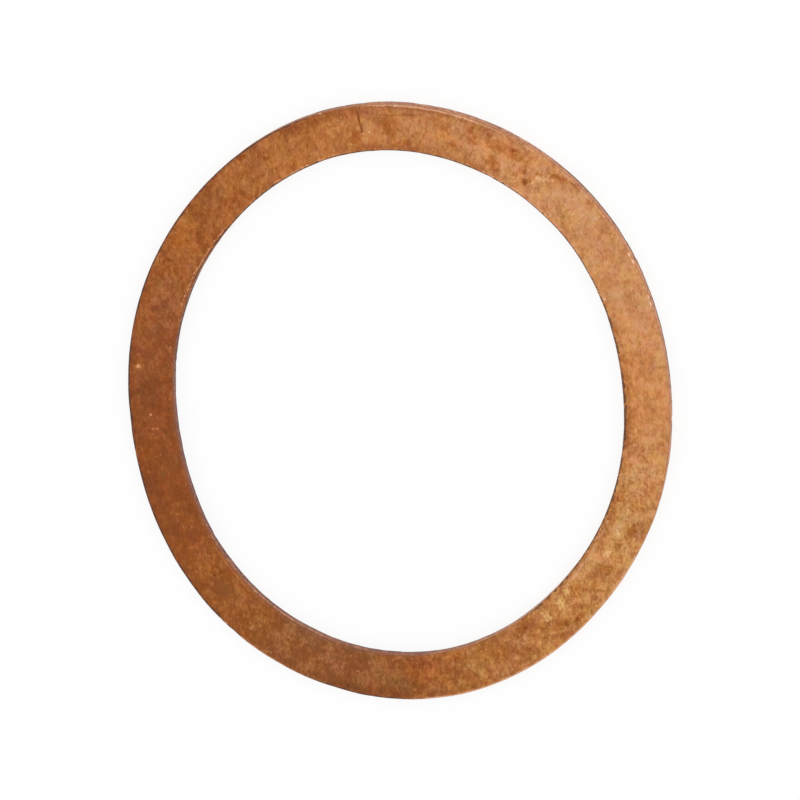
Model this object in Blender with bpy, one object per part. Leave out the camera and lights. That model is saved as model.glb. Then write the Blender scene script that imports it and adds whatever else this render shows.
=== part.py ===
"""Copper crush washer: one flat ring of sheet copper, bent a little out of round in use.

It lies flat on the plane z = 0. The origin is the middle of the bore on that plane,
+Z is the axis of the bolt, and the washer is longest along Y. Sizes are in metres.
"""

import math

import bmesh
import bpy
import numpy as np

MM = 0.001

# Sizes of the washer as it was punched
BORE_DIAMETER = 32.0 * MM
BAND_WIDTH = 3.0 * MM
THICKNESS = 1.0 * MM
RIM_RADIUS = 0.12 * MM

# How far each bend swings the ring's centreline in and out
OVAL_SWING = 1.05 * MM
THREE_SIDED_SWING = 0.04 * MM
FOUR_SIDED_SWING = 0.05 * MM
SIX_SIDED_SWING = 0.045 * MM

# Direction of a crest of each bend, in degrees from +X towards +Y
OVAL_CREST = 90.0
THREE_SIDED_CREST = 21.0
FOUR_SIDED_CREST = -9.0
SIX_SIDED_CREST = -13.0

# Each bend as its number of crests, its swing and the direction of one crest
BENDS = (
    (2, OVAL_SWING, OVAL_CREST),
    (3, THREE_SIDED_SWING, THREE_SIDED_CREST),
    (4, FOUR_SIDED_SWING, FOUR_SIDED_CREST),
    (6, SIX_SIDED_SWING, SIX_SIDED_CREST),
)

# Fineness of the mesh
STEPS_ROUND = 180
RIM_STEPS = 3

# An edge sharper than this is a rim of the washer, and is rounded
RIM_ANGLE = math.radians(60.0)

COPPER_COLOUR = (0.46, 0.17, 0.055, 1.0)
COPPER_ROUGHNESS = 0.5


def clear_scene():
    for old in list(bpy.data.objects):
        bpy.data.objects.remove(old, do_unlink=True)


def bent_centreline(angles):
    """Points and outward normals of the line through the middle of the section.

    Its radius is the new washer's mean radius plus one cosine for each bend, drawn in until
    the line is as long as it was when round, because the copper was bent and not stretched.
    """
    mean_radius = (BORE_DIAMETER + BAND_WIDTH) / 2
    radius = np.full_like(angles, mean_radius)
    slope = np.zeros_like(angles)
    for crests, swing, crest in BENDS:
        turn = crests * (angles - math.radians(crest))
        radius += swing * np.cos(turn)
        slope -= crests * swing * np.sin(turn)

    length = 2 * math.pi * np.hypot(radius, slope).mean()
    keep_length = 2 * math.pi * mean_radius / length
    outward = np.stack([np.cos(angles), np.sin(angles)], axis=1)
    along = np.stack([-np.sin(angles), np.cos(angles)], axis=1)
    points = keep_length * radius[:, None] * outward
    normals = radius[:, None] * outward - slope[:, None] * along
    return points, normals / np.linalg.norm(normals, axis=1)[:, None]


def closed_loop(mesh, points):
    """Edges of a closed outline through the points, on the plane z = 0."""
    corners = [mesh.verts.new((x, y, 0.0)) for x, y in points]
    return [mesh.edges.new((a, b)) for a, b in zip(corners, corners[1:] + corners[:1])]


def flat_ring():
    """The underside of the washer: half the band's width on each side of the centreline."""
    angles = np.arange(STEPS_ROUND) * (2 * math.pi / STEPS_ROUND)
    points, normals = bent_centreline(angles)
    half_band = BAND_WIDTH / 2 * normals

    mesh = bmesh.new()
    outside = closed_loop(mesh, points + half_band)
    bore = closed_loop(mesh, points - half_band)
    bmesh.ops.bridge_loops(mesh, edges=outside + bore)
    for face in mesh.faces:
        if face.normal.z < 0:
            face.normal_flip()
        face.smooth = True
    data = bpy.data.meshes.new("crush_washer")
    mesh.to_mesh(data)
    mesh.free()
    return data


def aged_copper():
    material = bpy.data.materials.new("aged_copper")
    material.use_nodes = True
    shader = material.node_tree.nodes["Principled BSDF"]
    shader.inputs["Base Color"].default_value = COPPER_COLOUR
    shader.inputs["Metallic"].default_value = 1.0
    shader.inputs["Roughness"].default_value = COPPER_ROUGHNESS
    return material


def crush_washer():
    washer = bpy.data.objects.new("crush_washer", flat_ring())
    bpy.context.scene.collection.objects.link(washer)
    washer.data.materials.append(aged_copper())

    sheet = washer.modifiers.new("sheet_thickness", "SOLIDIFY")
    sheet.thickness = THICKNESS
    sheet.offset = 1.0

    rims = washer.modifiers.new("rounded_rims", "BEVEL")
    rims.limit_method = "ANGLE"
    rims.angle_limit = RIM_ANGLE
    rims.width = RIM_RADIUS
    rims.segments = RIM_STEPS
    rims.harden_normals = True
    return washer


clear_scene()
crush_washer()
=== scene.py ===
"""Looks of the copper crush washer: a flat ring of sheet copper, bent a little out of round.

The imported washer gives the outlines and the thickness. The washer made here has the same outlines,
with worn rims, sheared walls, nicks and scratches, and an aged copper skin. Lengths are in metres.
"""

import math

import bpy
import numpy as np
from mathutils import Matrix, Vector


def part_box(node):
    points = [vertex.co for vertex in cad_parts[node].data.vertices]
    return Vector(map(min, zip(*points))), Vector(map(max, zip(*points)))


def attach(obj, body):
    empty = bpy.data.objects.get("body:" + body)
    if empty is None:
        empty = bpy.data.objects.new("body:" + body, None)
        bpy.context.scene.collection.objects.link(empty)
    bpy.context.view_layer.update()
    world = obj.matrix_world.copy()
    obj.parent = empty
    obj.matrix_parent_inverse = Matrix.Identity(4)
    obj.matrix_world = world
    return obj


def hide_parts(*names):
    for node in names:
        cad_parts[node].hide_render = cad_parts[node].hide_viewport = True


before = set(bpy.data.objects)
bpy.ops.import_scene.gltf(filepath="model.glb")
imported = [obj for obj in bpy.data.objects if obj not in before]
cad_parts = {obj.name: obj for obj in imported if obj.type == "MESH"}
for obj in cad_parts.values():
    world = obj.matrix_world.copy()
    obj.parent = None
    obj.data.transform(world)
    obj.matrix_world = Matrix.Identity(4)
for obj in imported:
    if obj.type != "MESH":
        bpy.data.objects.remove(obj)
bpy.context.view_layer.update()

MM = 0.001

# The washer as packed
WASHER = "crush_washer"
LOWEST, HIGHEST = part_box(WASHER)
THICKNESS = HIGHEST.z - LOWEST.z
OUTLINE_HARMONICS = 10
OUTLINE_POINTS_BAND = 0.01 * MM

# How the photograph was taken: it looks down on the upper face and leans to one side
PICTURE_SIZE = 800
CAMERA_DISTANCE = 298.0 * MM
CAMERA_TILT = math.radians(20.64)
LEAN_ON_WASHER = math.radians(57.8)
LEAN_IN_PICTURE = math.radians(52.0)
PIXELS_PER_METRE = 15.494 / MM
FACE_MIDDLE_PIXEL = (395.3, 407.2)
SENSOR_WIDTH = 36.0
FOCAL_PIXELS = PIXELS_PER_METRE * CAMERA_DISTANCE
NEAREST_SEEN = 10 * MM

# A direction read in the picture, counted from its right, is this much more on the washer
PICTURE_TURN = LEAN_ON_WASHER - LEAN_IN_PICTURE

# Fineness of the washer's mesh
STEPS_ROUND = 1150
STEPS_ACROSS_TOP = 42
STEPS_ACROSS_BOTTOM = 16
STEPS_UP_WALL = 6
STEPS_ROUND_RIM = 4
STEPS_SECTION = STEPS_ACROSS_TOP + STEPS_ACROSS_BOTTOM + 2 * STEPS_UP_WALL + 4 * STEPS_ROUND_RIM

# The middle column of each rim, in the section's order
TOP_OUT_RIM = STEPS_ACROSS_TOP + STEPS_ROUND_RIM // 2
BOTTOM_OUT_RIM = TOP_OUT_RIM + STEPS_ROUND_RIM + STEPS_UP_WALL
BOTTOM_BORE_RIM = BOTTOM_OUT_RIM + STEPS_ROUND_RIM + STEPS_ACROSS_BOTTOM
TOP_BORE_RIM = BOTTOM_BORE_RIM + STEPS_ROUND_RIM + STEPS_UP_WALL

# Rims, walls and faces of the worn washer
RIM_RADIUS = 0.07 * MM
RIM_RADIUS_SWING = 0.02 * MM
SMALLEST_RIM_RADIUS = 0.03 * MM
SKIN_WEAR = 0.003 * MM
LEAST_WEAR = 0.001 * MM
FACE_WAVE = 0.003 * MM
WALL_WAVE = 0.004 * MM
BROAD_WAVE_SHARE = 0.7
NICKS = 60
NICK_DEPTH = (0.010 * MM, 0.036 * MM)
UPPER_NICK_SHARE = 0.5
NICK_SIZE = (0.08 * MM, 0.24 * MM)
NICK_GLEAM = 0.7
PITS = 90
PIT_DEPTH = (0.006 * MM, 0.020 * MM)
PIT_SIZE = (0.06 * MM, 0.14 * MM)
SEED = 11

# The torn lower part of the walls. Its edge is at a share of the height, which swings round the
# ring, and it fades over so much below the edge and above it.
TORN_DEPTH = 0.008 * MM
TORN_GRAIN = 0.5 * WALL_WAVE
TORN_HEIGHT = 0.45
TORN_HEIGHT_SWING = 0.08
TORN_FADE = (0.12, 0.06)

# Sizes of the noises' spots, in steps of the mesh: round the ring, or also round the section
RIM_SPOTS = 6
TORN_EDGE_SPOTS = 10
FACE_SPOTS = (9, 5)
FINE_WALL_SPOTS = (2, 5)
BROAD_WALL_SPOTS = (12, 8)
TORN_SPOTS = (1, 1)

# The upper face's skin on the walls: how much of it, and from none to all between two heights
SKIN_ON_WALL = 0.65
SKIN_ON_WALL_RISE = (0.40, 0.95)
SKIN_IN_BORE = 0.85
SKIN_IN_BORE_RISE = (0.42, 0.88)

# Round the ring the copper is freshest, and painted lighter as if lit, at the right and a little
# above;
# duskiest, and painted darker as if shaded, opposite. The swing is partly fresher copper, partly
# painted light
FRESHNESS_MEAN = 0.45
FRESHNESS_AND_LIGHT_SWING = 0.5
FRESHEST_AND_LIGHTEST = 20.0

# Broad changes round the ring: from and to which direction of the picture, over how many degrees
# the change fades, and how much it is
FRESHER = (
    (50, 72, 14, 0.10),
    (95, 112, 12, -0.06),
    (165, 205, 24, -0.09),
    (256, 284, 14, -0.17),
    (14, 42, 12, 0.06),
    (128, 158, 12, -0.05),
    (176, 216, 14, -0.04),
    (216, 232, 8, 0.06),
    (262, 276, 8, -0.06),
    (278, 292, 8, 0.07),
)
LIVELIER = (
    (45, 78, 16, 0.25),
    (285, 350, 20, 0.34),
    (14, 42, 12, 0.12),
    (112, 190, 20, 0.08),
    (336, 356, 10, 0.15),
    (234, 285, 14, 0.22),
)
COOLER = (
    (20, 78, 20, 0.26),
    (96, 156, 20, -0.22),
    (200, 238, 16, -0.14),
    (318, 352, 14, 0.15),
    (168, 240, 20, 0.05),
    (240, 268, 10, 0.52),
)
GREENER = (
    (96, 156, 20, 0.16),
    (215, 345, 30, 0.35),
)

# Lines along the rims. Each has its rim, from and to which direction of the picture it runs, over
# how many degrees it fades, how far onto the face it lies and its half width in millimetres, and
# how strong it is. A line that lies off the face is on the wall.
# Dark lines along the silhouettes and the bottoms of the walls: painted shade of the outline, with
# some dark tarnish
TARNISH_AND_SHADE_LINES = (
    ("outside", 104, 134, 12, 0.02, 0.08, 0.80),
    ("outside", 134, 166, 12, 0.05, 0.08, 0.80),
    ("outside", 166, 192, 12, 0.05, 0.11, 0.85),
    ("outside", 192, 236, 12, 0.07, 0.09, 0.82),
    ("outside", 250, 272, 8, 0.02, 0.11, 0.72),
    ("outside", 6, 58, 12, -0.87, 0.15, 0.80),
    ("outside", -30, 112, 14, -0.95, 0.09, 0.55),
    ("bore", -12, 14, 14, 0.06, 0.15, 0.74),
    ("bore", 10, 32, 12, 0.04, 0.13, 0.75),
    ("bore", -30, -8, 12, 0.03, 0.12, 0.78),
    ("bore", -62, -24, 14, 0.02, 0.09, 0.72),
    ("bore", 28, 72, 12, 0.00, 0.08, 0.82),
    ("bore", 68, 149, 8, 0.00, 0.09, 0.75),
    ("bore", 138, 310, 12, -0.93, 0.12, 0.78),
    ("bore", 144, 174, 14, -0.50, 0.42, 0.60),
)
# Darker bands along the rims and on the walls: painted shade
PAINTED_SHADE_LINES = (
    ("outside", -20, 66, 14, -0.02, 0.10, 0.20),
    ("outside", 66, 88, 10, 0.19, 0.07, 0.25),
    ("outside", 88, 108, 10, 0.10, 0.09, 0.50),
    ("outside", 92, 112, 10, 0.30, 0.25, 0.32),
    ("outside", 92, 112, 10, -0.40, 0.35, 0.12),
    ("outside", 108, 134, 12, 0.12, 0.12, 0.22),
    ("outside", 166, 236, 12, 0.24, 0.16, 0.14),
    ("outside", 250, 272, 10, 0.28, 0.26, 0.22),
    ("outside", 274, 290, 10, 0.34, 0.20, 0.12),
    ("outside", 285, 306, 12, 0.20, 0.07, 0.12),
    ("bore", -30, 24, 14, 0.26, 0.32, 0.38),
    ("bore", 66, 96, 14, 0.24, 0.26, 0.28),
)
# Bright lines along the rims and on the walls: painted highlights
HIGHLIGHT_LINES = (
    ("outside", 70, 94, 10, 0.04, 0.10, 0.66),
    ("outside", 96, 116, 10, -0.30, 0.20, 0.36),
    ("outside", 228, 250, 8, 0.00, 0.08, 0.55),
    ("outside", 272, 330, 10, 0.03, 0.10, 0.74),
    ("outside", 310, 332, 10, 0.20, 0.14, 0.34),
    ("bore", 38, 72, 14, 0.15, 0.11, 0.46),
    ("bore", 92, 130, 12, 0.13, 0.08, 0.44),
    ("bore", 130, 156, 12, 0.17, 0.09, 0.52),
    ("bore", 208, 230, 10, -0.32, 0.20, 0.44),
    ("bore", 228, 254, 10, -0.46, 0.24, 0.46),
    ("bore", 236, 276, 10, -0.80, 0.08, 0.36),
    ("bore", 285, 320, 10, -0.16, 0.14, 0.50),
    ("bore", 308, 334, 10, 0.32, 0.18, 0.46),
)

# A faint cool painted sheen over the rims, as if they caught the white round them
SHEEN_LINES = (
    ("outside", -200, 200, 10, 0.00, 0.13, 1.00),
    ("bore", -50, 150, 16, 0.00, 0.12, 1.00),
    ("bore", 150, 310, 16, 0.00, 0.13, 0.35),
)

# Marks of the upper face. Each is the pixel of the picture where it lies, its length and width
# in millimetres, the slope of its length in the picture in degrees, and how strong it is.
BROWN_STAINS = (
    ((389, 131), 0.95, 0.30, -62, 1.15),
    ((406, 142), 0.55, 0.34, 0, 0.70),
    ((356, 138), 0.50, 0.40, 60, 1.25),
    ((430, 118), 0.50, 0.25, 0, 0.40),
    ((493, 163), 0.68, 0.38, -66, 1.15),
    ((500, 149), 0.75, 0.34, -25, 0.90),
    ((511, 153), 0.95, 0.40, -30, 1.30),
    ((491, 142), 0.74, 0.46, 84, 0.80),
    ((473, 141), 0.68, 0.48, 84, 0.82),
    ((454, 146), 0.32, 0.24, 0, 0.75),
    ((472, 128), 0.50, 0.30, 20, 0.55),
    ((525, 167), 0.55, 0.28, 80, 0.95),
    ((540, 175), 0.50, 0.16, -10, 0.70),
    ((560, 179), 1.00, 0.17, -22, 0.85),
    ((577, 188), 0.65, 0.22, -45, 0.75),
    ((588, 203), 0.75, 0.24, -55, 0.65),
    ((634, 512), 0.40, 0.25, 60, 0.40),
    ((632, 531), 0.90, 0.36, 65, 0.75),
    ((620, 545), 0.70, 0.40, 45, 0.65),
    ((622, 498), 0.50, 0.32, 30, 0.75),
    ((598, 556), 0.45, 0.35, 30, 0.40),
    ((608, 570), 0.85, 0.50, 50, 0.75),
    ((594, 574), 0.55, 0.42, 30, 0.50),
    ((580, 588), 0.65, 0.48, 20, 0.80),
    ((596, 590), 0.60, 0.38, 50, 0.50),
    ((586, 601), 0.55, 0.30, 10, 0.30),
    ((573, 612), 0.50, 0.30, 20, 0.35),
    ((560, 626), 1.10, 0.45, 30, 0.80),
    ((580, 617), 0.60, 0.32, 50, 0.75),
    ((536, 604), 0.40, 0.32, 30, 0.55),
    ((520, 631), 0.90, 0.45, 30, 0.60),
    ((538, 641), 0.70, 0.35, 30, 0.35),
    ((505, 650), 0.80, 0.45, 30, 0.35),
    ((453, 659), 0.65, 0.32, 20, 0.60),
    ((241, 157), 0.40, 0.28, 40, 0.90),
)
DARK_SPECKS = (
    ((524.6, 181.8), 0.24, 0.18, 65, 1.00),
    ((265.5, 158.5), 0.16, 0.09, 20, 0.35),
    ((203.6, 585.5), 0.24, 0.20, 0, 0.30),
    ((514, 151), 0.12, 0.09, 0, 0.25),
    ((611, 233), 0.09, 0.09, 0, 0.30),
)
OLIVE_STAINS = (
    ((402, 682), 0.60, 0.26, 0, 0.70),
    ((379, 671), 0.40, 0.55, 0, 0.55),
    ((333, 657), 0.45, 0.30, 0, 0.60),
    ((328, 674), 0.70, 0.25, -15, 0.60),
    ((164, 473), 0.45, 0.30, 60, 0.50),
    ((232, 591), 0.40, 0.35, 40, 0.45),
    ((217, 606), 0.45, 0.25, -40, 0.45),
    ((300, 636), 0.60, 0.35, -30, 0.45),
    ((418, 672), 0.35, 0.30, 0, 0.40),
)
PALE_SPOTS = (
    ((618, 533), 0.46, 0.28, 75, 0.62),
    ((628, 510), 0.85, 0.16, 75, 0.45),
    ((607, 554), 0.38, 0.25, 15, 0.88),
    ((590, 558), 0.16, 0.22, 0, 0.65),
    ((596, 566), 0.22, 0.12, 30, 0.60),
    ((567, 592), 0.30, 0.44, 10, 0.62),
    ((561, 604), 0.34, 0.44, 10, 0.70),
    ((546.5, 617), 0.46, 0.46, 0, 0.70),
    ((577, 595), 0.20, 0.20, 0, 0.45),
    ((545, 180), 0.60, 0.14, 5, 0.60),
    ((571.5, 215), 0.25, 0.16, 20, 0.55),
    ((595, 219), 0.16, 0.16, 0, 0.70),
    ((590, 217), 0.12, 0.08, 60, 0.60),
    ((599, 217), 0.12, 0.08, 40, 0.60),
    ((570, 212), 0.10, 0.09, 0, 0.60),
    ((575, 213), 0.10, 0.08, 0, 0.50),
    ((527, 169), 0.10, 0.09, 0, 0.50),
    ((533, 164), 0.12, 0.08, 30, 0.50),
    ((497, 143), 0.12, 0.09, 30, 0.50),
    ((532, 182.5), 0.20, 0.12, 20, 0.70),
    ((552, 180.5), 0.14, 0.08, 0, 0.70),
    ((537, 178.5), 0.16, 0.16, 90, 0.70),
    ((473, 141), 0.20, 0.18, 0, 0.35),
    ((370, 132.5), 0.11, 0.08, 0, 1.00),
    ((138.5, 366), 0.20, 0.14, 35, 0.85),
    ((150.4, 414.5), 0.13, 0.11, 0, 0.80),
    ((151, 454), 0.09, 0.08, 0, 0.70),
    ((157, 456.5), 0.09, 0.08, 0, 0.80),
    ((172, 505), 0.09, 0.08, 0, 0.40),
    ((252, 628), 0.18, 0.20, 70, 0.55),
    ((636, 359), 0.09, 0.09, 0, 0.80),
    ((468, 665), 0.12, 0.17, 0, 0.80),
    ((481, 679), 0.14, 0.10, -20, 0.60),
    ((492.6, 661), 0.10, 0.12, 0, 0.50),
    ((358, 671.5), 0.14, 0.14, 0, 0.85),
    ((557, 628), 0.10, 0.09, 0, 0.70),
    ((539, 630), 0.12, 0.10, 40, 0.70),
    ((520, 649), 0.14, 0.10, 0, 0.60),
)

# Glints along the rims: painted highlights, small bright spots of colour. They fade in between two
# heights of the walls.
GLINT_HIGHLIGHT_RISE = (0.75, 0.95)
GLINT_HIGHLIGHTS = (
    ((319.8, 113.6), 0.09, 0.07, 20, 1.00),
    ((394.7, 105.4), 0.22, 0.06, 0, 0.55),
    ((452, 110.5), 0.20, 0.06, -12, 0.40),
    ((513, 138.6), 0.08, 0.07, -30, 0.60),
    ((629, 254.5), 0.12, 0.07, -60, 0.80),
    ((633.2, 261.8), 0.16, 0.05, -60, 1.10),
    ((648.8, 296.6), 0.10, 0.06, -70, 1.30),
    ((650.4, 303.6), 0.09, 0.05, -72, 1.00),
    ((604.8, 299), 0.11, 0.06, -66, 1.15),
    ((600, 289), 0.07, 0.06, 0, 0.40),
    ((545.3, 213), 0.08, 0.06, -40, 0.55),
    ((500.4, 180.4), 0.08, 0.06, -30, 0.50),
    ((594, 539.4), 0.08, 0.07, 55, 0.70),
    ((496, 634), 0.14, 0.06, 26, 0.60),
    ((320.5, 633.5), 0.20, 0.06, -24, 0.60),
    ((311, 629.5), 0.16, 0.06, -26, 0.60),
    ((301, 624.5), 0.12, 0.06, -30, 0.45),
    ((209, 527), 0.22, 0.06, -58, 0.40),
)

# Straight scratches, from and to which pixel and how strong; below 0 is a pale one
SCRATCHES = (
    ((357, 112), (360, 124), 0.80),
    ((359.5, 122), (362.5, 132), 0.76),
    ((139, 428.5), (160, 428.5), -0.62),
    ((380, 115), (423, 115), 0.22),
    ((549, 173), (578, 185), 0.18),
    ((617, 285), (616, 310), -0.30),
    ((629, 451), (646, 458), 0.16),
    ((514, 643.4), (526, 643.4), -0.40),
)
SCRATCH_WIDTH = 0.055 * MM

# Small circles, with the pixel of the middle, the radius in millimetres and how strong they are
RING_MARKS = (
    ((541, 193), 0.45, 0.54),
    ((216, 571), 0.30, 0.75),
    ((167, 263), 0.28, 0.65),
)
RING_MARK_WIDTH = 0.09 * MM
GROOVE_DEPTH = 0.006 * MM

# Broad changes of the skin over the upper face. Each has its pixel, length, width and slope like a
# mark, and then how much of each kind of change there is.
CLOUD_KINDS = ("lighter", "cooler", "greener")
CLOUDS = (
    ((210, 199), 1.30, 0.70, 60, (-0.12, 0.35, 0.00)),
    ((262, 170), 0.90, 0.60, 35, (0.14, -0.10, 0.00)),
    ((267, 152), 0.40, 0.30, 30, (-0.10, 0.20, -0.20)),
    ((294, 132), 0.50, 0.35, 10, (-0.12, 0.30, 0.00)),
    ((191, 215), 0.60, 0.30, 55, (0.08, -0.30, 0.40)),
    ((177, 244), 1.00, 0.45, 60, (-0.04, -0.60, -0.30)),
    ((166, 302), 2.00, 0.90, 80, (0.04, 0.60, -0.20)),
    ((147, 388), 1.30, 0.70, 90, (-0.15, 0.50, 0.05)),
    ((172, 462), 0.60, 0.40, -80, (0.06, 0.40, 0.20)),
    ((156, 492), 0.80, 0.40, -75, (-0.12, 0.30, -0.30)),
    ((171, 518), 0.90, 0.40, -60, (-0.08, 0.20, 0.10)),
    ((195, 543), 1.00, 0.70, -55, (0.00, 0.00, -0.35)),
    ((202, 565), 0.90, 0.55, -55, (0.12, -0.10, 0.10)),
    ((224, 590), 1.20, 0.60, -45, (-0.04, 0.30, 0.05)),
    ((251, 603), 0.45, 0.35, -45, (0.04, 0.10, -0.40)),
    ((266, 624), 0.60, 0.60, 0, (0.08, -0.10, 0.10)),
    ((312, 632), 1.80, 0.60, -25, (-0.04, 0.80, 0.00)),
    ((298, 650), 0.60, 0.35, -30, (-0.15, 0.30, 0.10)),
    ((310, 645), 0.50, 0.30, -20, (0.12, 0.30, -0.10)),
    ((345, 668), 1.00, 0.50, -15, (0.07, 0.30, -0.50)),
    ((355, 650), 0.80, 0.35, -10, (0.00, 0.60, 0.10)),
    ((402, 684), 0.90, 0.50, 0, (-0.18, 0.60, 0.30)),
    ((424, 668), 1.60, 0.90, 5, (0.02, -0.30, -0.45)),
    ((466, 667), 0.50, 0.40, 0, (0.08, 0.00, 0.20)),
    ((486, 658), 0.80, 0.60, 80, (0.06, -0.20, 0.30)),
    ((512, 650), 1.40, 0.45, 75, (-0.10, 0.20, -0.40)),
    ((520, 628), 0.50, 0.35, 30, (-0.03, 0.00, -0.20)),
    ((571, 622), 0.60, 0.28, 35, (-0.15, 0.30, 0.30)),
    ((614, 521), 0.40, 0.30, 60, (-0.14, -0.30, 0.00)),
    ((622, 520), 1.20, 0.34, 60, (0.18, 0.30, 0.20)),
    ((639, 480), 1.10, 0.60, 80, (0.16, 0.15, 0.10)),
    ((639, 507), 0.35, 0.30, 0, (-0.16, -0.30, 0.00)),
    ((638, 535), 0.45, 0.25, 60, (-0.12, 0.20, -0.30)),
    ((446, 136), 1.10, 0.50, -5, (0.08, -0.30, 0.10)),
    ((425, 139), 0.30, 0.20, 0, (-0.14, 0.10, -0.20)),
    ((486, 146), 0.35, 0.30, 0, (0.10, -0.30, 0.10)),
    ((510, 173), 0.60, 0.35, -35, (0.10, 0.00, 0.30)),
    ((536, 164), 0.35, 0.30, 0, (0.08, -0.20, 0.10)),
    ((552, 193), 1.50, 0.60, -35, (0.16, 0.15, 0.05)),
    ((578, 208), 0.90, 0.50, -50, (0.10, 0.10, 0.00)),
    ((567, 220), 0.35, 0.40, 0, (-0.12, 0.10, 0.30)),
    ((595, 214), 0.70, 0.30, -50, (-0.06, 0.10, 0.30)),
    ((605, 231), 0.50, 0.35, -60, (-0.26, 0.30, 0.20)),
    ((596, 268), 0.30, 0.25, 0, (-0.12, 0.00, 0.30)),
    ((629, 276), 0.60, 0.30, -70, (-0.08, 0.00, 0.30)),
    ((607, 283), 0.50, 0.40, -60, (-0.06, -0.10, 0.10)),
    ((598, 243), 0.60, 0.40, -60, (0.12, 0.00, 0.00)),
    ((614, 300), 0.60, 0.40, -70, (0.06, -0.10, 0.00)),
    ((642, 300), 0.50, 0.25, -75, (-0.08, 0.00, 0.30)),
    ((647, 335), 1.40, 0.50, -80, (0.02, 0.25, -0.25)),
    ((654, 364), 0.30, 0.35, 0, (-0.10, 0.30, -0.30)),
    ((630, 357), 0.50, 0.20, -80, (-0.12, -0.30, -0.10)),
    ((629, 384), 0.50, 0.20, -85, (-0.12, 0.00, 0.40)),
    ((640, 400), 1.60, 0.70, 90, (-0.02, -0.30, -0.10)),
    ((425, 112), 1.60, 0.25, -5, (0.00, 0.35, -0.10)),
    ((368, 112), 0.80, 0.25, 10, (-0.05, 0.50, -0.30)),
    ((590, 565), 1.10, 0.32, 50, (0.24, 0.00, 0.10)),
    ((621, 587), 1.10, 0.35, 52, (0.20, 0.00, 0.10)),
    ((349, 686), 1.20, 0.35, -10, (-0.10, 0.20, 0.00)),
    ((430, 158), 0.60, 0.22, -10, (-0.08, 0.00, 0.00)),
    ((139.5, 366), 0.34, 0.26, 20, (0.55, -0.20, 0.00)),
    ((189, 266.5), 0.30, 0.30, 0, (0.26, 0.90, -0.70)),
    ((252, 628), 0.28, 0.24, 0, (0.26, 0.20, 0.00)),
    ((139, 349), 0.50, 0.30, 80, (0.00, 0.50, -0.50)),
    ((152, 355), 0.70, 0.50, 0, (-0.04, 0.40, -0.10)),
    ((166, 345), 1.30, 0.70, 85, (0.00, 0.30, -0.15)),
    ((622, 524), 0.70, 0.20, 62, (0.16, 0.10, 0.10)),
    ((617, 533), 0.60, 0.42, 75, (0.20, 0.15, 0.05)),
    ((563, 600), 0.80, 0.50, 50, (0.10, 0.00, 0.05)),
    ((547, 618), 0.60, 0.50, 0, (0.12, 0.00, 0.05)),
    ((582, 572), 0.50, 0.35, 30, (0.16, 0.00, 0.05)),
    ((150.4, 414.5), 0.20, 0.20, 0, (0.00, 0.60, -0.40)),
    ((398, 672), 1.00, 0.40, 60, (-0.05, 0.10, 0.30)),
    ((505, 154), 1.90, 0.95, -33, (0.00, -0.22, -0.22)),
)

# Colours of the skin from its darkest patina to the barest metal, and of its olive stains
UMBER = (0.130, 0.036, 0.0098)
BROWN = (0.287, 0.084, 0.024)
COPPER_BROWN = (0.429, 0.156, 0.0500)
COPPER = (0.611, 0.275, 0.102)
PALE_COPPER = (0.776, 0.440, 0.210)
OLIVE_BROWN = (0.200, 0.092, 0.032)

# Colours of the walls, burnished or torn, and of the rims: painted shade with tarnish, painted
# highlights, painted sheen and glints
BURNISHED_DARK = (0.235, 0.078, 0.052)
BURNISHED_PALE = (0.784, 0.378, 0.198)
TORN_DARK = (0.146, 0.063, 0.082)
TORN_PALE = (0.796, 0.439, 0.251)
RIM_DARK = (0.096, 0.043, 0.027)
RIM_HIGHLIGHT = (0.740, 0.390, 0.230)
RIM_SHEEN = (0.420, 0.500, 0.520)
GLINT_HIGHLIGHT = (0.880, 0.570, 0.410)

# The skin's tones from the lowest to the highest of the span, as places from 0 to 1, and how far
# a dark speck lowers the tone
TONE_SPAN = (-1.0, 2.0)
SPECK_DEPTH_OF_TONE = 1.5
SKIN_TONES = (
    (0.0, UMBER),
    (1 / 3, BROWN),
    (0.5, COPPER_BROWN),
    (2 / 3, COPPER),
    (1.0, PALE_COPPER),
)

# Casts over the copper's colour: two pairs of opposite ones, and one for the brown stains
WARM_CAST = (1.12, 1.00, 0.66)
COOL_CAST = (0.88, 1.00, 1.38)
PINK_CAST = (1.04, 0.86, 1.10)
GREEN_CAST = (0.96, 1.14, 0.90)
STAIN_CAST = (0.97, 0.89, 0.72)

# The sheet was rolled along this direction of the washer
ROLLING_DIRECTION = math.radians(90.0) + PICTURE_TURN

# Noises of the copper: the space that each follows, the size of its spots in millimetres, detail,
# roughness, which of many patterns it is, and distortion
NOISES = {
    "clouds": ("place", 3.0, 4, 0.60, 0.0, 0.0),
    "blotches": ("place", 1.2, 5, 0.62, 3.0, 1.0),
    "grain": ("rolled", 0.32, 4, 0.65, 5.0, 0.4),
    "fine": ("rolled", 0.13, 2, 0.60, 8.0, 0.0),
    "flecks": ("rolled", 0.17, 2, 0.50, 31.0, 0.0),
    "specks": ("rolled", 0.16, 2, 0.50, 37.0, 0.0),
    "edges": ("place", 0.36, 5, 0.62, 21.0, 1.2),
    "crumbs": ("place", 0.13, 3, 0.60, 33.0, 0.5),
    "cool": ("place", 1.1, 5, 0.70, 12.0, 0.5),
    "green": ("place", 0.8, 5, 0.70, 17.0, 0.5),
    "drag": ("dragged", 0.16, 3, 0.60, 25.0, 0.0),
}

# Streaks along the ring, and how the spaces of the noises are scaled
STREAK_SIZE = 0.14 * MM
FLAT = (1.0, 1.0, 0.0)
ROLLED_STRETCH = (0.6, 1.0, 1.0)
DRAGGED_STRETCH = (1.0, 1.0, 0.12)
STREAK_STRETCH = (0.45, 0.45, 0.5)

# The fine relief of the surface
BUMP_DEPTH = 0.012 * MM
BUMP_STRENGTH = 0.6

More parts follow.
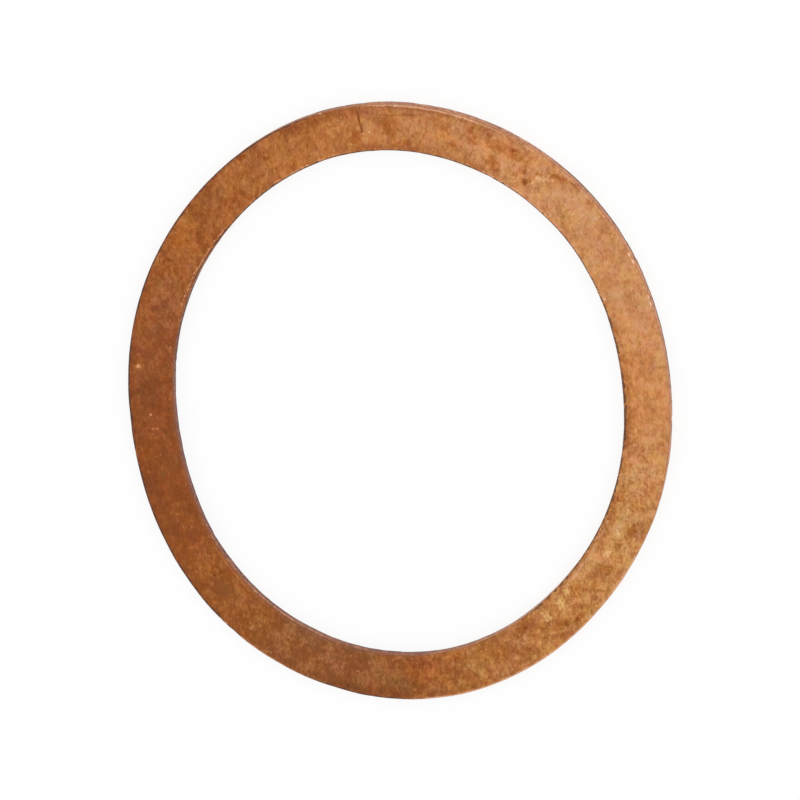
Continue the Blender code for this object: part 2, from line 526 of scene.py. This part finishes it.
# How a soft mark breaks up into patches: how far noise moves its edge, and two smooth steps
RAGGED_REACH = 1.8
TARNISH_AND_SHADE_REACH = 2.2
RAGGED_EDGE = (0.34, 0.62)
RAGGED_END = (0.03, 0.25)

# How much of the copper's colour each kind of mark covers
OLIVE_COVER = 0.5
TARNISH_AND_SHADE_COVER = 0.8
HIGHLIGHT_COVER = 0.7
SHEEN_COVER = 0.045
GLINT_HIGHLIGHT_COVER = 0.8

# The copper's tint at grazing angles, and its roughness: how far blotches swing it, and what the
# painted highlights and the painted shade with tarnish add to it
GRAZING_TINT = (0.90, 0.82, 0.78)
ROUGHNESS = 0.48
ROUGHNESS_SWING = 0.25
HIGHLIGHT_ROUGHNESS = -0.12
TARNISH_AND_SHADE_ROUGHNESS = 0.15

# The floor, and the light all round
WHITE = (1.0, 1.0, 1.0)
FLOOR_SIZE = 4.0
FLOOR_GAP = 0.01 * MM
FLOOR_COLOUR = (0.95, 0.95, 0.95)
FLOOR_OWN_WHITE = 0.85
WORLD_LIGHT = 0.9

# The lamps: direction in the picture and height in degrees, distance and size in metres, and
# power in watts
LAMPS = (
    ("key", 40, 50, 0.6, 0.5, 1.0),
    ("fill", 220, 45, 0.7, 0.6, 0.1),
)


# The camera's directions

def picture_axes():
    """Right, up and towards the camera, as directions on the washer."""
    lean = Vector((math.cos(LEAN_ON_WASHER), math.sin(LEAN_ON_WASHER), 0.0))
    aside = Vector((-lean.y, lean.x, 0.0))
    vertical = Vector((0.0, 0.0, 1.0))
    towards = math.sin(CAMERA_TILT) * lean + math.cos(CAMERA_TILT) * vertical
    rise = math.cos(CAMERA_TILT) * lean - math.sin(CAMERA_TILT) * vertical
    right = math.cos(LEAN_IN_PICTURE) * rise - math.sin(LEAN_IN_PICTURE) * aside
    up = math.sin(LEAN_IN_PICTURE) * rise + math.cos(LEAN_IN_PICTURE) * aside
    return right, up, towards


def camera_place():
    """Out from the middle of the upper face, and moved sideways so as to frame the picture."""
    right, up, towards = picture_axes()
    middle = PICTURE_SIZE / 2
    move_right = (middle - FACE_MIDDLE_PIXEL[0]) / PIXELS_PER_METRE
    move_up = (FACE_MIDDLE_PIXEL[1] - middle) / PIXELS_PER_METRE
    face_middle = Vector((0.0, 0.0, THICKNESS))
    return face_middle + CAMERA_DISTANCE * towards + move_right * right + move_up * up


def on_face(pixel):
    """The point of the upper face that is seen at a pixel of the picture."""
    right, up, towards = picture_axes()
    middle = PICTURE_SIZE / 2
    aim = (pixel[0] - middle) * right + (middle - pixel[1]) * up - FOCAL_PIXELS * towards
    start = camera_place()
    point = start + aim * ((THICKNESS - start.z) / aim.z)
    return np.array(point)


# Shapes along and across the ring

def harmonics(angles, count):
    """Columns of a mean and of the cosines and sines of the first few multiples of the angle."""
    waves = np.outer(angles, np.arange(1, count + 1))
    return np.hstack([np.ones((len(angles), 1)), np.cos(waves), np.sin(waves)])


def smooth_outline(points, angles):
    """Radius at the angles of the closed line through the points, as a sum of harmonics."""
    seen = np.arctan2(points[:, 1], points[:, 0])
    radius = np.hypot(points[:, 0], points[:, 1])
    shares = np.linalg.lstsq(harmonics(seen, OUTLINE_HARMONICS), radius, rcond=None)[0]
    return harmonics(angles, OUTLINE_HARMONICS) @ shares


def packed_outlines(angles):
    """Radii of the bore and of the outside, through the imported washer's points on its walls."""
    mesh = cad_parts[WASHER].data
    points = np.empty(len(mesh.vertices) * 3, np.float32)
    mesh.vertices.foreach_get("co", points)
    points = points.reshape(-1, 3).astype(float)
    off_middle = np.abs(points[:, 2] - THICKNESS / 2)
    points = points[off_middle < off_middle.min() + OUTLINE_POINTS_BAND]
    radius = np.hypot(points[:, 0], points[:, 1])
    outside = radius > radius.mean()
    return smooth_outline(points[~outside], angles), smooth_outline(points[outside], angles)


def bell(distance, width):
    """A smooth bump: 1 at no distance, and about a third at one width."""
    return np.exp(-((distance / width) ** 2))


def smooth_step(value, low, high):
    """0 below the first value, 1 above the second, and an even S between them."""
    share = np.clip((value - low) / (high - low), 0, 1)
    return share * share * (3 - 2 * share)


def between(angles, start, end, over):
    """1 between two directions of the picture, in degrees, fading to 0 over a few degrees."""
    middle = math.radians((start + end) / 2) + PICTURE_TURN
    half = math.radians((end - start) / 2)
    off = np.abs((angles - middle + math.pi) % (2 * math.pi) - math.pi)
    return smooth_step(half - off, -math.radians(over) / 2, math.radians(over) / 2)


def section_outline(width, radii):
    """The section at every angle: distances from the bore, heights and outward normals.

    It runs once round: across the top from the bore to the outside, down the outer wall, back
    across the bottom and up the bore's wall, with a quarter circle at each of the four rims.
    """
    top_out, bottom_out, bottom_bore, top_bore = radii
    parts = []

    def straight(start, end, normal, steps):
        share = np.arange(steps)[None, :] / steps
        place = [a + (b - a) * share for a, b in zip(start, end)]
        parts.append([np.broadcast_to(p, (STEPS_ROUND, steps)) for p in (*place, *normal)])

    def rim(centre, radius, begin):
        turn = begin - math.pi / 2 * np.arange(STEPS_ROUND_RIM)[None, :] / STEPS_ROUND_RIM
        normal = np.cos(turn), np.sin(turn)
        place = [c + radius * n for c, n in zip(centre, normal)]
        shape = (STEPS_ROUND, STEPS_ROUND_RIM)
        parts.append([np.broadcast_to(p, shape) for p in (*place, *normal)])

    top = THICKNESS
    straight((top_bore, top), (width - top_out, top), (0.0, 1.0), STEPS_ACROSS_TOP)
    rim((width - top_out, top - top_out), top_out, math.pi / 2)
    straight((width, top - top_out), (width, bottom_out), (1.0, 0.0), STEPS_UP_WALL)
    rim((width - bottom_out, bottom_out), bottom_out, 0.0)
    straight((width - bottom_out, 0.0), (bottom_bore, 0.0), (0.0, -1.0), STEPS_ACROSS_BOTTOM)
    rim((bottom_bore, bottom_bore), bottom_bore, -math.pi / 2)
    straight((0.0, bottom_bore), (0.0, top - top_bore), (-1.0, 0.0), STEPS_UP_WALL)
    rim((top_bore, top - top_bore), top_bore, math.pi)
    return [np.hstack(column) for column in zip(*parts)]


def grid_noise(random, around, across):
    """Smooth noise on the closed surface, with no seam: white noise blurred by a bell curve."""
    shape = (STEPS_ROUND, STEPS_SECTION)
    white = np.fft.rfft2(random.standard_normal(shape))
    rate_around = np.fft.fftfreq(STEPS_ROUND)[:, None] * around
    rate_across = np.fft.rfftfreq(STEPS_SECTION)[None, :] * across
    blur = np.exp(-2 * math.pi**2 * (rate_around**2 + rate_across**2))
    soft = np.fft.irfft2(white * blur, s=shape)
    return soft / soft.std()


def ring_noise(random, around):
    """Smooth noise along the ring alone, as one column."""
    white = np.fft.rfft(random.standard_normal(STEPS_ROUND))
    blur = np.exp(-2 * math.pi**2 * (np.fft.rfftfreq(STEPS_ROUND) * around) ** 2)
    soft = np.fft.irfft(white * blur, n=STEPS_ROUND)
    return (soft / soft.std())[:, None]


def rim_distances(across, height):
    """Distance along the section from the middle of the two upper rims, positive on the face."""
    step = np.hypot(np.roll(across, -1, 1) - across, np.roll(height, -1, 1) - height)
    girth = step.sum(1, keepdims=True)
    along = np.cumsum(step, 1) - step

    def from_column(column):
        return (along - along[:, column : column + 1] + girth / 2) % girth - girth / 2

    return {"outside": -from_column(TOP_OUT_RIM), "bore": from_column(TOP_BORE_RIM)}


def dents(points, centres, sizes, depths):
    """Depth at each point of round dents, each a bell curve of the distance from its centre."""
    depth = np.zeros(points.shape[:-1])
    for centre, size, deep in zip(centres, sizes, depths):
        distance = np.linalg.norm(points - centre, axis=-1)
        depth = np.maximum(depth, deep * bell(distance, size))
    return depth


def on_top(points):
    """Whether each point is in the upper half, where the marks of the upper face show."""
    return points[..., 2] > THICKNESS / 2


def spot(points, mark):
    """How strongly a mark colours each point of the upper face: an oval bell curve."""
    pixel, length, width, slope, strength = mark
    off = points[..., :2] - on_face(pixel)[:2]
    turn = math.radians(slope) + PICTURE_TURN
    ahead = off[..., 0] * math.cos(turn) + off[..., 1] * math.sin(turn)
    aside = off[..., 1] * math.cos(turn) - off[..., 0] * math.sin(turn)
    reach = np.hypot(ahead / (length * MM), aside / (width * MM))
    return strength * bell(reach, 1.0) * on_top(points)


def spots(points, marks):
    """The strongest of several marks at each point."""
    return np.max([spot(points, mark) for mark in marks], axis=0)


def clouds(points, kind):
    """The broad changes of one kind at each point, added up."""
    which = CLOUD_KINDS.index(kind)
    return np.sum([spot(points, (*oval, changes[which])) for *oval, changes in CLOUDS], axis=0)


def scratch(points, start, end):
    """How near each point of the upper face is to a straight scratch between two pixels."""
    a, b = on_face(start)[:2], on_face(end)[:2]
    run = b - a
    off = points[..., :2] - a
    share = np.clip(off @ run / (run @ run), 0, 1)
    distance = np.linalg.norm(off - share[..., None] * run, axis=-1)
    return bell(distance, SCRATCH_WIDTH) * on_top(points)


def ring_mark(points, pixel, radius):
    """How near each point of the upper face is to a small circle round a pixel."""
    distance = np.linalg.norm(points[..., :2] - on_face(pixel)[:2], axis=-1)
    return bell(distance - radius * MM, RING_MARK_WIDTH) * on_top(points)


def grooves(points):
    """Depth of the scratches and of the ring marks."""
    depth = 0
    for start, end, strength in SCRATCHES:
        depth = np.maximum(depth, abs(strength) * scratch(points, start, end))
    for pixel, radius, strength in RING_MARKS:
        depth = np.maximum(depth, strength * ring_mark(points, pixel, radius))
    return GROOVE_DEPTH * depth


# The washer

def nicks_and_pits(random, points):
    """Depths at each point of the nicks along the rims, and of the pits anywhere."""
    rim_columns = np.array([TOP_OUT_RIM, BOTTOM_OUT_RIM, BOTTOM_BORE_RIM, TOP_BORE_RIM])
    rows = random.integers(0, STEPS_ROUND, NICKS)
    columns = rim_columns[random.integers(0, 4, NICKS)]
    sizes = random.uniform(*NICK_SIZE, NICKS)
    depths = random.uniform(*NICK_DEPTH, NICKS)
    upper = np.isin(columns, (TOP_OUT_RIM, TOP_BORE_RIM))
    depths = depths * np.where(upper, UPPER_NICK_SHARE, 1.0)
    nicks = dents(points, points[rows, columns], sizes, depths)

    rows = random.integers(0, STEPS_ROUND, PITS)
    columns = random.integers(0, STEPS_SECTION, PITS)
    sizes = random.uniform(*PIT_SIZE, PITS)
    depths = random.uniform(*PIT_DEPTH, PITS)
    pits = dents(points, points[rows, columns], sizes, depths)
    return nicks, pits


def washer_shape(random):
    """Points of the worn washer on a grid, and where they are on its section.

    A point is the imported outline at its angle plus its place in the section, moved in along the
    section's normal by wear, by the torn lower part of the walls, and by nicks and pits.
    """
    angles = np.arange(STEPS_ROUND) * (2 * math.pi / STEPS_ROUND)
    bore, outside = packed_outlines(angles)
    radii = [RIM_RADIUS + RIM_RADIUS_SWING * ring_noise(random, RIM_SPOTS) for _ in range(4)]
    radii = [np.maximum(r, SMALLEST_RIM_RADIUS) for r in radii]
    across, height, normal_out, normal_up = section_outline((outside - bore)[:, None], radii)

    direction = np.stack([np.cos(angles), np.sin(angles)], 1)[:, None, :]
    wall = np.abs(normal_out)

    def place(distance, level):
        flat = (bore[:, None] + distance)[..., None] * direction
        return np.concatenate([flat, level[..., None]], -1)

    points = place(across, height)
    wear = SKIN_WEAR + FACE_WAVE * grid_noise(random, *FACE_SPOTS)
    fine_wave = grid_noise(random, *FINE_WALL_SPOTS)
    broad_wave = grid_noise(random, *BROAD_WALL_SPOTS)
    wear += WALL_WAVE * wall * (fine_wave + BROAD_WAVE_SHARE * broad_wave)
    torn_edge = TORN_HEIGHT + TORN_HEIGHT_SWING * ring_noise(random, TORN_EDGE_SPOTS)
    whole = smooth_step(height / THICKNESS, torn_edge - TORN_FADE[0], torn_edge + TORN_FADE[1])
    torn = wall * (1 - whole)
    wear += torn * (TORN_DEPTH + TORN_GRAIN * grid_noise(random, *TORN_SPOTS))
    nicks, pits = nicks_and_pits(random, points)
    wear += np.maximum(nicks, pits) + grooves(points)

    wear = np.maximum(wear, LEAST_WEAR)
    points = place(across - wear * normal_out, height - wear * normal_up)
    section = {
        "wall": wall,
        "height": height / THICKNESS,
        "rims": rim_distances(across, height),
        "nicks": nicks / NICK_DEPTH[1],
    }
    return angles, points, section


def round_ring(angles, stretches):
    """The sum of broad changes round the ring, as one column."""
    parts = [more * between(angles, start, end, over) for start, end, over, more in stretches]
    return np.sum(parts, 0)[:, None]


def rim_lines(angles, rims, lines):
    """How strong the strongest of several lines along the rims is at each point."""
    strongest = 0
    for rim, start, end, over, offset, width, strength in lines:
        along = strength * between(angles, start, end, over)[:, None]
        strongest = np.maximum(strongest, along * bell(rims[rim] - offset * MM, width * MM))
    return strongest


def washer_marks(angles, points, section):
    """The skin's patterns at each point, most of them from 0 to 1."""
    rims = section["rims"]
    wall = section["wall"]
    height = section["height"]

    turned = angles[:, None] - PICTURE_TURN
    freshness_and_light = FRESHNESS_MEAN + round_ring(angles, FRESHER) + clouds(points, "lighter")
    # The swing round the ring paints a lit side and a shaded side over fresher and duskier copper
    freshness_and_light += FRESHNESS_AND_LIGHT_SWING * np.cos(turned - math.radians(FRESHEST_AND_LIGHTEST))

    # Painted shade along the silhouettes and wall bottoms, with some dark tarnish
    tarnish_and_shade = rim_lines(angles, rims, TARNISH_AND_SHADE_LINES)
    # Painted highlights along the rims, and bare copper in the nicks
    highlights_and_nicks = rim_lines(angles, rims, HIGHLIGHT_LINES)
    highlights_and_nicks = np.maximum(highlights_and_nicks, NICK_GLEAM * section["nicks"] * (1 - tarnish_and_shade))

    in_bore = np.abs(rims["bore"]) < np.abs(rims["outside"])
    outer_skin = SKIN_ON_WALL * smooth_step(height, *SKIN_ON_WALL_RISE)
    bore_skin = SKIN_IN_BORE * smooth_step(height, *SKIN_IN_BORE_RISE)
    skin = np.where(in_bore, bore_skin, outer_skin)

    brown = spots(points, BROWN_STAINS)
    pale = spots(points, PALE_SPOTS)
    dark = spots(points, DARK_SPECKS)
    for start, end, strength in SCRATCHES:
        mark = abs(strength) * scratch(points, start, end)
        if strength > 0:
            dark = np.maximum(dark, mark)
        else:
            pale = np.maximum(pale, mark)
    for pixel, radius, strength in RING_MARKS:
        brown = np.maximum(brown, strength * ring_mark(points, pixel, radius))
    return {
        "freshness_and_light": freshness_and_light,
        "mottle": np.broadcast_to(1 + round_ring(angles, LIVELIER), freshness_and_light.shape),
        "cool": round_ring(angles, COOLER) + clouds(points, "cooler"),
        "green": round_ring(angles, GREENER) + clouds(points, "greener"),
        "wall": wall,
        "bare": wall * (1 - skin),
        "height": height,
        "tarnish_and_shade": tarnish_and_shade,
        "highlights_and_nicks": highlights_and_nicks,
        # painted glints along the rims
        "glint_highlight": spots(points, GLINT_HIGHLIGHTS) * smooth_step(height, *GLINT_HIGHLIGHT_RISE),
        # a painted sheen over the rims
        "rim_sheen": rim_lines(angles, rims, SHEEN_LINES),
        # painted shade along the rims and walls
        "shade": rim_lines(angles, rims, PAINTED_SHADE_LINES),
        "dark": dark,
        "brown": brown,
        "pale": pale,
        "olive": spots(points, OLIVE_STAINS),
    }


def closed_grid_mesh(name, points):
    """A mesh over a grid of points that closes on itself both ways, with its faces outwards."""
    rows, columns = points.shape[:2]
    number = np.arange(rows * columns).reshape(rows, columns)
    following = np.roll(number, -1, 0)
    faces = np.stack([number, np.roll(number, -1, 1), np.roll(following, -1, 1), following], -1)
    mesh = bpy.data.meshes.new(name)
    mesh.vertices.add(number.size)
    mesh.vertices.foreach_set("co", points.astype(np.float32).ravel())
    mesh.loops.add(faces.size)
    mesh.loops.foreach_set("vertex_index", faces.astype(np.int32).ravel())
    mesh.polygons.add(number.size)
    mesh.polygons.foreach_set("loop_start", np.arange(0, faces.size, 4, dtype=np.int32))
    mesh.update(calc_edges=True)
    mesh.shade_smooth()
    mesh.validate()
    return mesh


def worn_washer():
    """The washer as seen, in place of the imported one."""
    angles, points, section = washer_shape(np.random.default_rng(SEED))
    mesh = closed_grid_mesh("worn_washer", points)
    for name, values in washer_marks(angles, points, section).items():
        attribute = mesh.attributes.new(name, "FLOAT", "POINT")
        attribute.data.foreach_set("value", values.astype(np.float32).ravel())
    washer = bpy.data.objects.new("worn_washer", mesh)
    bpy.context.scene.collection.objects.link(washer)
    mesh.materials.append(aged_copper())
    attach(washer, "root")
    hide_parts(WASHER)


# Materials

def node(tree, kind, inputs=(), **settings):
    """A shader node with its settings, and its inputs set to values or joined to outputs."""
    made = tree.nodes.new("ShaderNode" + kind)
    for name, value in settings.items():
        setattr(made, name, value)
    for name, value in dict(inputs).items():
        if isinstance(value, bpy.types.NodeSocket):
            tree.links.new(value, made.inputs[name])
        else:
            made.inputs[name].default_value = value
    return made


def pattern(tree, name):
    """One of the washer's patterns, read at the surface."""
    return node(tree, "Attribute", attribute_name=name).outputs["Fac"]


def maths(tree, operation, *values, clamp=False):
    """The result of one operation on numbers and outputs; clamped, it stays from 0 to 1."""
    made = node(tree, "Math", enumerate(values), operation=operation, use_clamp=clamp)
    return made.outputs[0]


def times(tree, value, amount):
    """The product of two numbers or outputs."""
    return maths(tree, "MULTIPLY", value, amount)


def total(tree, *values, clamp=False):
    """The sum of numbers and outputs; clamped, it stays from 0 to 1."""
    made = values[0]
    for value in values[1:-1]:
        made = maths(tree, "ADD", made, value)
    return maths(tree, "ADD", made, values[-1], clamp=clamp)


def noise(tree, vector, size, detail, roughness, offset, distortion):
    """Noise from 0 to 1 with spots of a size in metres; an offset gives another pattern."""
    inputs = {
        "Vector": vector,
        "W": offset,
        "Scale": 1 / size,
        "Detail": detail,
        "Roughness": roughness,
        "Distortion": distortion,
    }
    return node(tree, "TexNoise", inputs, noise_dimensions="4D").outputs[0]


def swing(tree, value, amount):
    """Noise as a push up and down: its distance from a half, times an amount."""
    return times(tree, maths(tree, "SUBTRACT", value, 0.5), amount)


def fade(tree, value, low, high):
    """0 below the first value, 1 above the second, and smooth between them."""
    inputs = {"Value": value, "From Min": low, "From Max": high}
    return node(tree, "MapRange", inputs, interpolation_type="SMOOTHSTEP").outputs[0]


def blend(tree, amount, first, second, blend_type="MIX"):
    """The first colour turned into the second, or multiplied by it, by an amount."""
    colours = [c if isinstance(c, bpy.types.NodeSocket) else (*c, 1.0) for c in (first, second)]
    inputs = {0: amount, 6: colours[0], 7: colours[1]}
    return node(tree, "Mix", inputs, data_type="RGBA", blend_type=blend_type).outputs[2]


def cast(tree, colour, amount, first, second):
    """The colour under a cast that goes from one tint to its opposite."""
    return blend(tree, 1.0, colour, blend(tree, amount, first, second), "MULTIPLY")


def colour_scale(tree, value, stops):
    """Colours along a scale from 0 to 1."""
    made = node(tree, "ValToRGB", {"Fac": value})
    ramp = made.color_ramp
    while len(ramp.elements) < len(stops):
        ramp.elements.new(0.5)
    for element, (place, colour) in zip(ramp.elements, stops):
        element.position = place
        element.color = (*colour, 1.0)
    return made.outputs[0]


def ragged(tree, mark, edge_noise, reach=RAGGED_REACH):
    """A soft mark broken up into patches: the mark plus noise, cut by a smooth step."""
    pushed = total(tree, mark, swing(tree, edge_noise, reach))
    strong = fade(tree, pushed, *RAGGED_EDGE)
    present = fade(tree, mark, *RAGGED_END)
    return times(tree, strong, present)


def stretched(tree, place, scale):
    """The place scaled along its three directions; a small scale draws out a noise's spots."""
    return node(tree, "Mapping", {"Vector": place, "Scale": scale}).outputs[0]


def copper_noises(tree):
    """The noises that break up the copper's colour, by name."""
    place = node(tree, "TexCoord").outputs["Object"]
    turn_to_roll = (0.0, 0.0, -ROLLING_DIRECTION)
    turned = node(tree, "Mapping", {"Vector": place, "Rotation": turn_to_roll}).outputs[0]
    spaces = {
        "place": place,
        "rolled": stretched(tree, turned, ROLLED_STRETCH),
        "dragged": stretched(tree, place, DRAGGED_STRETCH),
    }
    noises = {}
    for name, (space, size, *character) in NOISES.items():
        noises[name] = noise(tree, spaces[space], size * MM, *character)

    level = stretched(tree, place, FLAT)
    from_axis = node(tree, "VectorMath", {0: level}, operation="LENGTH").outputs["Value"]
    along_ring = stretched(tree, place, STREAK_STRETCH)
    noises["streaks"] = noise(
        tree, along_ring, STREAK_SIZE, detail=4, roughness=0.65, offset=from_axis, distortion=0.3
    )
    return noises


def skin_tone(tree, noises, flecks, stained):
    """How light the skin is, as a place from 0 to 1 on the scale of its tones."""
    fine = noises["fine"]
    mottling = total(
        tree,
        swing(tree, noises["clouds"], 0.4),
        swing(tree, fade(tree, noises["blotches"], 0.40, 0.60), 0.32),
        swing(tree, noises["grain"], 1.0),
        swing(tree, fine, 1.15),
        times(tree, flecks, 0.60),
        times(tree, fade(tree, noises["specks"], 0.64, 0.78), -0.60),
    )
    crumbly = total(tree, times(tree, fade(tree, fine, 0.38, 0.60), 0.7), 0.5)
    pale = times(tree, ragged(tree, pattern(tree, "pale"), noises["crumbs"]), crumbly)
    darkening = total(tree, times(tree, pattern(tree, "brown"), -0.24), -0.08)
    tone = total(
        tree,
        # Freshness of the skin, with its painted light and shade
        pattern(tree, "freshness_and_light"),
        times(tree, mottling, pattern(tree, "mottle")),
        times(tree, stained, darkening),
        times(tree, pale, 0.85),
        # painted shade along the rims
        times(tree, pattern(tree, "shade"), -1.0),
        times(tree, pattern(tree, "dark"), -SPECK_DEPTH_OF_TONE),
    )
    lowest, highest = TONE_SPAN
    return times(tree, total(tree, tone, -lowest), 1 / (highest - lowest))


def with_casts(tree, colour, noises, flecks):
    """The skin's colour made warmer or cooler, and pinker or greener, from place to place."""
    dull = maths(tree, "SUBTRACT", 0.5, pattern(tree, "freshness_and_light"), clamp=True)
    cool = total(
        tree,
        fade(tree, noises["cool"], 0.25, 0.75),
        pattern(tree, "cool"),
        times(tree, total(tree, flecks, -0.15), dull),
    )
    cool = total(tree, swing(tree, cool, 0.5), 0.5, clamp=True)
    colour = cast(tree, colour, cool, WARM_CAST, COOL_CAST)

    liveliness = times(tree, pattern(tree, "mottle"), 0.5)
    green = total(
        tree,
        swing(tree, fade(tree, noises["green"], 0.25, 0.75), liveliness),
        times(tree, pattern(tree, "green"), 0.5),
        0.5,
        clamp=True,
    )
    return cast(tree, colour, green, PINK_CAST, GREEN_CAST)


def skin_colour(tree, noises):
    """The upper face and the underside: rolled copper under its brown skin, with stains."""
    flecks = fade(tree, noises["flecks"], 0.62, 0.76)
    stained = ragged(tree, pattern(tree, "brown"), noises["edges"])
    colour = colour_scale(tree, skin_tone(tree, noises, flecks, stained), SKIN_TONES)
    colour = blend(tree, stained, colour, STAIN_CAST, "MULTIPLY")
    colour = with_casts(tree, colour, noises, flecks)
    olive = ragged(tree, pattern(tree, "olive"), noises["edges"])
    return blend(tree, times(tree, olive, OLIVE_COVER), colour, OLIVE_BROWN)


def wall_colour(tree, noises):
    """The sheared walls: burnished above and torn below, in streaks along the ring."""
    # The skin's freshness with its painted light and shade also lightens and darkens the walls
    freshness_and_light = pattern(tree, "freshness_and_light")
    streaks = noises["streaks"]
    contrast = total(tree, times(tree, freshness_and_light, 2.4), 1.2)
    tone = total(
        tree,
        times(tree, freshness_and_light, 0.50),
        swing(tree, noises["drag"], 0.8),
        swing(tree, streaks, contrast),
        swing(tree, noises["fine"], 0.9),
        # painted shade along the rims and walls
        times(tree, pattern(tree, "shade"), -1.0),
        0.175,
        clamp=True,
    )
    torn = blend(tree, tone, TORN_DARK, TORN_PALE)
    burnished = blend(tree, tone, BURNISHED_DARK, BURNISHED_PALE)
    raised = total(tree, pattern(tree, "height"), swing(tree, streaks, 0.5))
    return blend(tree, fade(tree, raised, -0.15, 0.65), torn, burnished)


def aged_copper():
    """Rolled copper under a mottled brown skin, pinker on its sheared walls and painted bright at
    rims.
    """
    material = bpy.data.materials.new("aged_copper")
    material.use_nodes = True
    tree = material.node_tree
    noises = copper_noises(tree)
    streaks = noises["streaks"]

    bare = total(tree, pattern(tree, "bare"), swing(tree, streaks, 0.8))
    bare = fade(tree, bare, 0.15, 0.95)
    colour = blend(tree, bare, skin_colour(tree, noises), wall_colour(tree, noises))

    # A painted sheen over the rims
    rim_sheen = pattern(tree, "rim_sheen")
    # Painted shade with tarnish along the silhouettes and wall bottoms
    tarnish_and_shade = ragged(tree, pattern(tree, "tarnish_and_shade"), streaks, TARNISH_AND_SHADE_REACH)
    # Painted highlights along the rims and walls
    highlights_and_nicks = ragged(tree, pattern(tree, "highlights_and_nicks"), maths(tree, "SUBTRACT", 1.0, streaks))
    # Painted glints along the rims
    glint_highlight = ragged(tree, pattern(tree, "glint_highlight"), noises["crumbs"])
    colour = blend(tree, times(tree, tarnish_and_shade, TARNISH_AND_SHADE_COVER), colour, RIM_DARK)
    colour = blend(tree, times(tree, highlights_and_nicks, HIGHLIGHT_COVER), colour, RIM_HIGHLIGHT)
    colour = blend(tree, times(tree, rim_sheen, SHEEN_COVER), colour, RIM_SHEEN)
    colour = blend(tree, times(tree, glint_highlight, GLINT_HIGHLIGHT_COVER), colour, GLINT_HIGHLIGHT)

    rough = total(
        tree,
        swing(tree, noises["blotches"], ROUGHNESS_SWING),
        ROUGHNESS,
        times(tree, highlights_and_nicks, HIGHLIGHT_ROUGHNESS),
        times(tree, tarnish_and_shade, TARNISH_AND_SHADE_ROUGHNESS),
    )
    relief = total(
        tree,
        times(tree, noises["grain"], 0.7),
        times(tree, noises["fine"], 0.3),
        times(tree, noises["drag"], pattern(tree, "wall")),
    )
    raised = {"Height": relief, "Distance": BUMP_DEPTH, "Strength": BUMP_STRENGTH}
    bump = node(tree, "Bump", raised)

    shader = tree.nodes["Principled BSDF"]
    shader.inputs["Metallic"].default_value = 1.0
    shader.inputs["Specular Tint"].default_value = (*GRAZING_TINT, 1.0)
    tree.links.new(colour, shader.inputs["Base Color"])
    tree.links.new(rough, shader.inputs["Roughness"])
    tree.links.new(bump.outputs[0], shader.inputs["Normal"])
    return material


# The stage

def seen_directly(tree):
    """1 where a surface is seen, also mirrored or through glass, and 0 where it only lights."""
    path = node(tree, "LightPath").outputs
    seen = path["Is Camera Ray"], path["Is Glossy Ray"], path["Is Transmission Ray"]
    return total(tree, *seen, clamp=True)


def white_floor():
    """A plain white floor that keeps a faint shadow of the washer."""
    material = bpy.data.materials.new("floor_white")
    material.use_nodes = True
    tree = material.node_tree
    tree.nodes.clear()
    matt = node(tree, "BsdfDiffuse", {"Color": (*FLOOR_COLOUR, 1.0)}).outputs[0]
    white = node(tree, "Emission", {"Color": (*WHITE, 1.0), "Strength": 1.0}).outputs[0]
    amount = times(tree, seen_directly(tree), FLOOR_OWN_WHITE)
    mixed = node(tree, "MixShader", {0: amount, 1: matt, 2: white}).outputs[0]
    node(tree, "OutputMaterial", {"Surface": mixed})

    reach = FLOOR_SIZE / 2
    corners = [(-reach, -reach), (reach, -reach), (reach, reach), (-reach, reach)]
    mesh = bpy.data.meshes.new("floor")
    mesh.from_pydata([(x, y, -FLOOR_GAP) for x, y in corners], [], [(0, 1, 2, 3)])
    mesh.materials.append(material)
    floor = bpy.data.objects.new("floor", mesh)
    bpy.context.scene.collection.objects.link(floor)


def studio_world():
    """White all round, and softer as a light than as what is seen."""
    world = bpy.data.worlds.new("studio")
    world.use_nodes = True
    tree = world.node_tree
    tree.nodes.clear()
    seen_more = times(tree, seen_directly(tree), 1.0 - WORLD_LIGHT)
    strength = total(tree, seen_more, WORLD_LIGHT)
    sky = node(tree, "Background", {"Color": (*WHITE, 1.0), "Strength": strength}).outputs[0]
    node(tree, "OutputWorld", {"Surface": sky})
    bpy.context.scene.world = world


def soft_lamp(name, direction, elevation, distance, size, power):
    """A square lamp that faces the washer."""
    turn = math.radians(direction) + PICTURE_TURN
    rise = math.radians(elevation)
    flat = math.cos(rise)
    away = Vector((math.cos(turn) * flat, math.sin(turn) * flat, math.sin(rise)))
    data = bpy.data.lights.new(name, "AREA")
    data.shape = "SQUARE"
    data.size = size
    data.energy = power
    lamp = bpy.data.objects.new(name, data)
    lamp.location = away * distance
    lamp.rotation_euler = away.to_track_quat("Z", "Y").to_euler()
    bpy.context.scene.collection.objects.link(lamp)


def picture_camera():
    """The camera that took the photograph."""
    right, up, towards = picture_axes()
    data = bpy.data.cameras.new("picture")
    data.sensor_width = SENSOR_WIDTH
    data.lens = SENSOR_WIDTH * FOCAL_PIXELS / PICTURE_SIZE
    data.clip_start = NEAREST_SEEN
    camera = bpy.data.objects.new("picture", data)
    turned = Matrix((right, up, towards)).transposed().to_4x4()
    camera.matrix_world = Matrix.Translation(camera_place()) @ turned
    bpy.context.scene.collection.objects.link(camera)
    bpy.context.scene.camera = camera


worn_washer()
white_floor()
studio_world()
for lamp in LAMPS:
    soft_lamp(*lamp)
picture_camera()
bpy.context.scene.view_settings.view_transform = "Standard"
